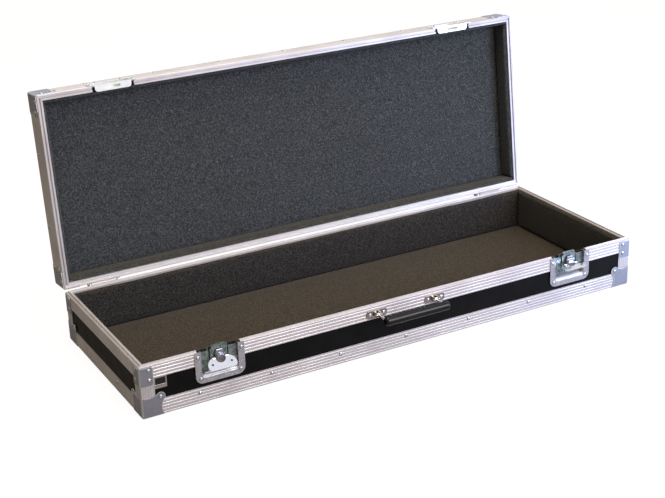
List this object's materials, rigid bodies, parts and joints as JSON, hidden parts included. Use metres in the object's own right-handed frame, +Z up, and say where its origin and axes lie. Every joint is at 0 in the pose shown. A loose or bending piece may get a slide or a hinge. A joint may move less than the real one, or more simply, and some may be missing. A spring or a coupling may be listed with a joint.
{
  "type": "flight case",
  "caption": "Long shallow black case in aluminium edging with pressed steel corners, a hinged lined lid, recessed twist latches and a swinging carrying handle.",
  "frame": {"origin": "under the middle of the whole part with its lid open, on the plane that its four lower corners stand on; the centre of the base is 27.9 mm in front of it", "axes": "+X along the case, -Y to the front with the latches and the handle, +Z up"},
  "size_m": [1.233, 0.6068, 0.5544],
  "materials": {
    "laminate": "black laminate on plywood",
    "aluminium": "extruded, natural satin",
    "zinc_steel": "pressed, zinc plated",
    "latch_steel": "deep drawn, zinc plated",
    "nickel": "bright nickel plate",
    "grip_plastic": "moulded, satin gloss",
    "base_felt": "needled felt over foam",
    "lid_felt": "needled felt over foam"
  },
  "bodies": {
    "base": {"base_bottom_board": "laminate", "base_board_front": "laminate", "base_board_back": "laminate", "base_board_right": "laminate", "base_board_left": "laminate", "base_lining": "base_felt", "base_edging_front": "aluminium", "base_edging_right": "aluminium", "base_edging_back": "aluminium", "base_edging_left": "aluminium", "base_upright_front_left": "aluminium", "base_upright_front_right": "aluminium", "base_upright_back_right": "aluminium", "base_upright_back_left": "aluminium", "base_rail_front_left": "aluminium", "base_rail_front_middle": "aluminium", "base_rail_front_right": "aluminium", "base_rail_right": "aluminium", "base_rail_back": "aluminium", "base_rail_left": "aluminium", "base_corner_front_left": "zinc_steel", "base_corner_front_right": "zinc_steel", "base_corner_back_right": "zinc_steel", "base_corner_back_left": "zinc_steel", "base_brace_front_left": "zinc_steel", "base_brace_front_right": "zinc_steel", "base_brace_back_right": "zinc_steel", "base_brace_back_left": "zinc_steel", "latch_dish_left": "latch_steel", "handle_bracket_left": "nickel", "hinge_base_leaf_left": "zinc_steel", "latch_dish_right": "latch_steel", "handle_bracket_right": "nickel", "hinge_base_leaf_right": "zinc_steel"},
    "lid": {"lid_top_board": "laminate", "lid_board_frame": "laminate", "lid_lining": "lid_felt", "lid_edging_front": "aluminium", "lid_edging_right": "aluminium", "lid_edging_back": "aluminium", "lid_edging_left": "aluminium", "lid_rail_front": "aluminium", "lid_rail_right": "aluminium", "lid_rail_back": "aluminium", "lid_rail_left": "aluminium", "lid_corner_front_left": "zinc_steel", "lid_corner_front_right": "zinc_steel", "lid_corner_back_right": "zinc_steel", "lid_corner_back_left": "zinc_steel", "latch_keeper_left": "latch_steel", "hinge_lid_leaf_left": "zinc_steel", "latch_keeper_right": "latch_steel", "hinge_lid_leaf_right": "zinc_steel"},
    "handle": {"handle_grip": "grip_plastic"},
    "cam_left": {"latch_cam_left": "zinc_steel"},
    "hook_left": {"latch_hook_left": "latch_steel"},
    "wing_left": {"latch_wing_left": "nickel"},
    "cam_right": {"latch_cam_right": "zinc_steel"},
    "hook_right": {"latch_hook_right": "latch_steel"},
    "wing_right": {"latch_wing_right": "nickel"}
  },
  "joints": [
    {"name": "lid_hinge", "type": "hinge", "parent": "base", "child": "lid", "pos_m": [0, 0.19392, 0.11565], "axis": [1, 0, 0], "range_deg": [0, 96.2]},
    {"name": "handle_swing", "type": "hinge", "parent": "base", "child": "handle", "pos_m": [0, -0.25488, 0.097], "axis": [1, 0, 0], "range_deg": [-25, 90]},
    {"name": "cam_turn_left", "type": "hinge", "parent": "base", "child": "cam_left", "pos_m": [-0.441, -0.24588, 0.0935], "axis": [0, 1, 0], "range_deg": [0, 180]},
    {"name": "wing_fold_left", "type": "hinge", "parent": "cam_left", "child": "wing_left", "pos_m": [-0.441, -0.24858, 0.0935], "axis": [1, 0, 0], "range_deg": [-135, 45]},
    {"name": "hook_slide_left", "type": "slide", "parent": "base", "child": "hook_left", "axis": [0, 0.7809, -0.6247], "range_m": [0, 0.00385]},
    {"name": "cam_turn_right", "type": "hinge", "parent": "base", "child": "cam_right", "pos_m": [0.441, -0.24588, 0.0935], "axis": [0, 1, 0], "range_deg": [0, 180]},
    {"name": "wing_fold_right", "type": "hinge", "parent": "cam_right", "child": "wing_right", "pos_m": [0.441, -0.24858, 0.0935], "axis": [1, 0, 0], "range_deg": [-100, 80]},
    {"name": "hook_slide_right", "type": "slide", "parent": "base", "child": "hook_right", "axis": [0, 0.7809, -0.6247], "range_m": [0, 0.00385]}
  ],
  "couplings": [
    {"joint": "hook_slide_left", "follows": "cam_turn_left", "m_per_rad": 0.0012229},
    {"joint": "hook_slide_right", "follows": "cam_turn_right", "m_per_rad": 0.0012229}
  ]
}
